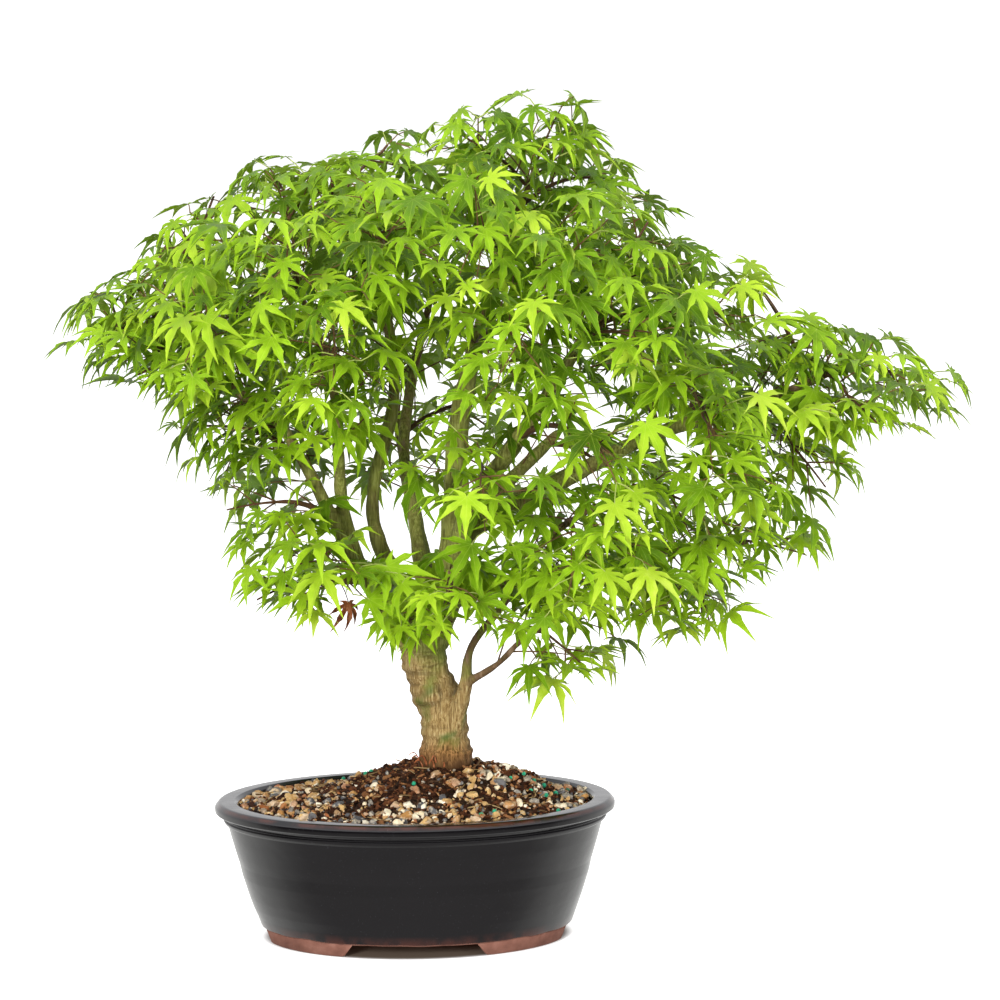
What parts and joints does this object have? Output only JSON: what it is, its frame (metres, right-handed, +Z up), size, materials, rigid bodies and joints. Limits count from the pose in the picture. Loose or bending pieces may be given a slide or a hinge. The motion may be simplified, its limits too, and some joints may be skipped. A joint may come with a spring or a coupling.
{
  "type": "bonsai tree in a pot",
  "caption": "Potted Japanese maple bonsai: a leaning trunk with spreading limbs and a wide crown of palmate green leaves, in a mound of gravelly soil in an oval glazed pot on four corner feet",
  "frame": {"origin": "the middle of the bottom of the whole tree's box, on the plane of the pot's feet", "axes": "+X along the pot's long side and the crown's width, to the right seen from the front; -Y is the front; +Z up"},
  "size_m": [0.7014, 0.484, 0.6623],
  "materials": {
    "glaze": "semi-gloss blue-black glaze; unglazed terracotta on the feet and underside",
    "screen": "black plastic mesh",
    "soil": "dark bark compost covered with tan, cream and grey grit",
    "stone": "rough pebbles in grey, cream and tan",
    "bark": "young maple bark, tan and olive with fine vertical striations",
    "leaf": "fresh yellow-green leaf blades, slightly translucent"
  },
  "bodies": {
    "root": {"drainage_screen_left": "screen", "drainage_screen_right": "screen", "pot": "glaze", "shoot_01": "leaf", "shoot_02": "leaf", "shoot_03": "leaf", "shoot_04": "leaf", "shoot_05": "leaf", "shoot_06": "leaf", "shoot_07": "leaf", "shoot_08": "leaf", "shoot_09": "leaf", "shoot_10": "leaf", "shoot_11": "leaf", "shoot_12": "leaf", "shoot_13": "leaf", "shoot_14": "leaf", "shoot_15": "leaf", "shoot_16": "leaf", "shoot_17": "leaf", "shoot_18": "leaf", "shoot_19": "leaf", "shoot_20": "leaf", "shoot_21": "leaf", "shoot_22": "leaf", "shoot_23": "leaf", "shoot_24": "leaf", "shoot_25": "leaf", "shoot_26": "leaf", "shoot_27": "leaf", "shoot_28": "leaf", "shoot_29": "leaf", "shoot_30": "leaf", "shoot_31": "leaf", "shoot_32": "leaf", "shoot_33": "leaf", "shoot_34": "leaf", "shoot_35": "leaf", "shoot_36": "leaf", "shoot_37": "leaf", "shoot_38": "leaf", "shoot_39": "leaf", "shoot_40": "leaf", "shoot_41": "leaf", "shoot_42": "leaf", "shoot_43": "leaf", "shoot_44": "leaf", "shoot_45": "leaf", "shoot_46": "leaf", "shoot_47": "leaf", "soil": "soil", "stone_01": "stone", "stone_02": "stone", "stone_03": "stone", "stone_04": "stone", "stone_05": "stone", "stone_06": "stone", "stone_07": "stone", "trunk_and_branches": "bark"}
  },
  "joints": []
}
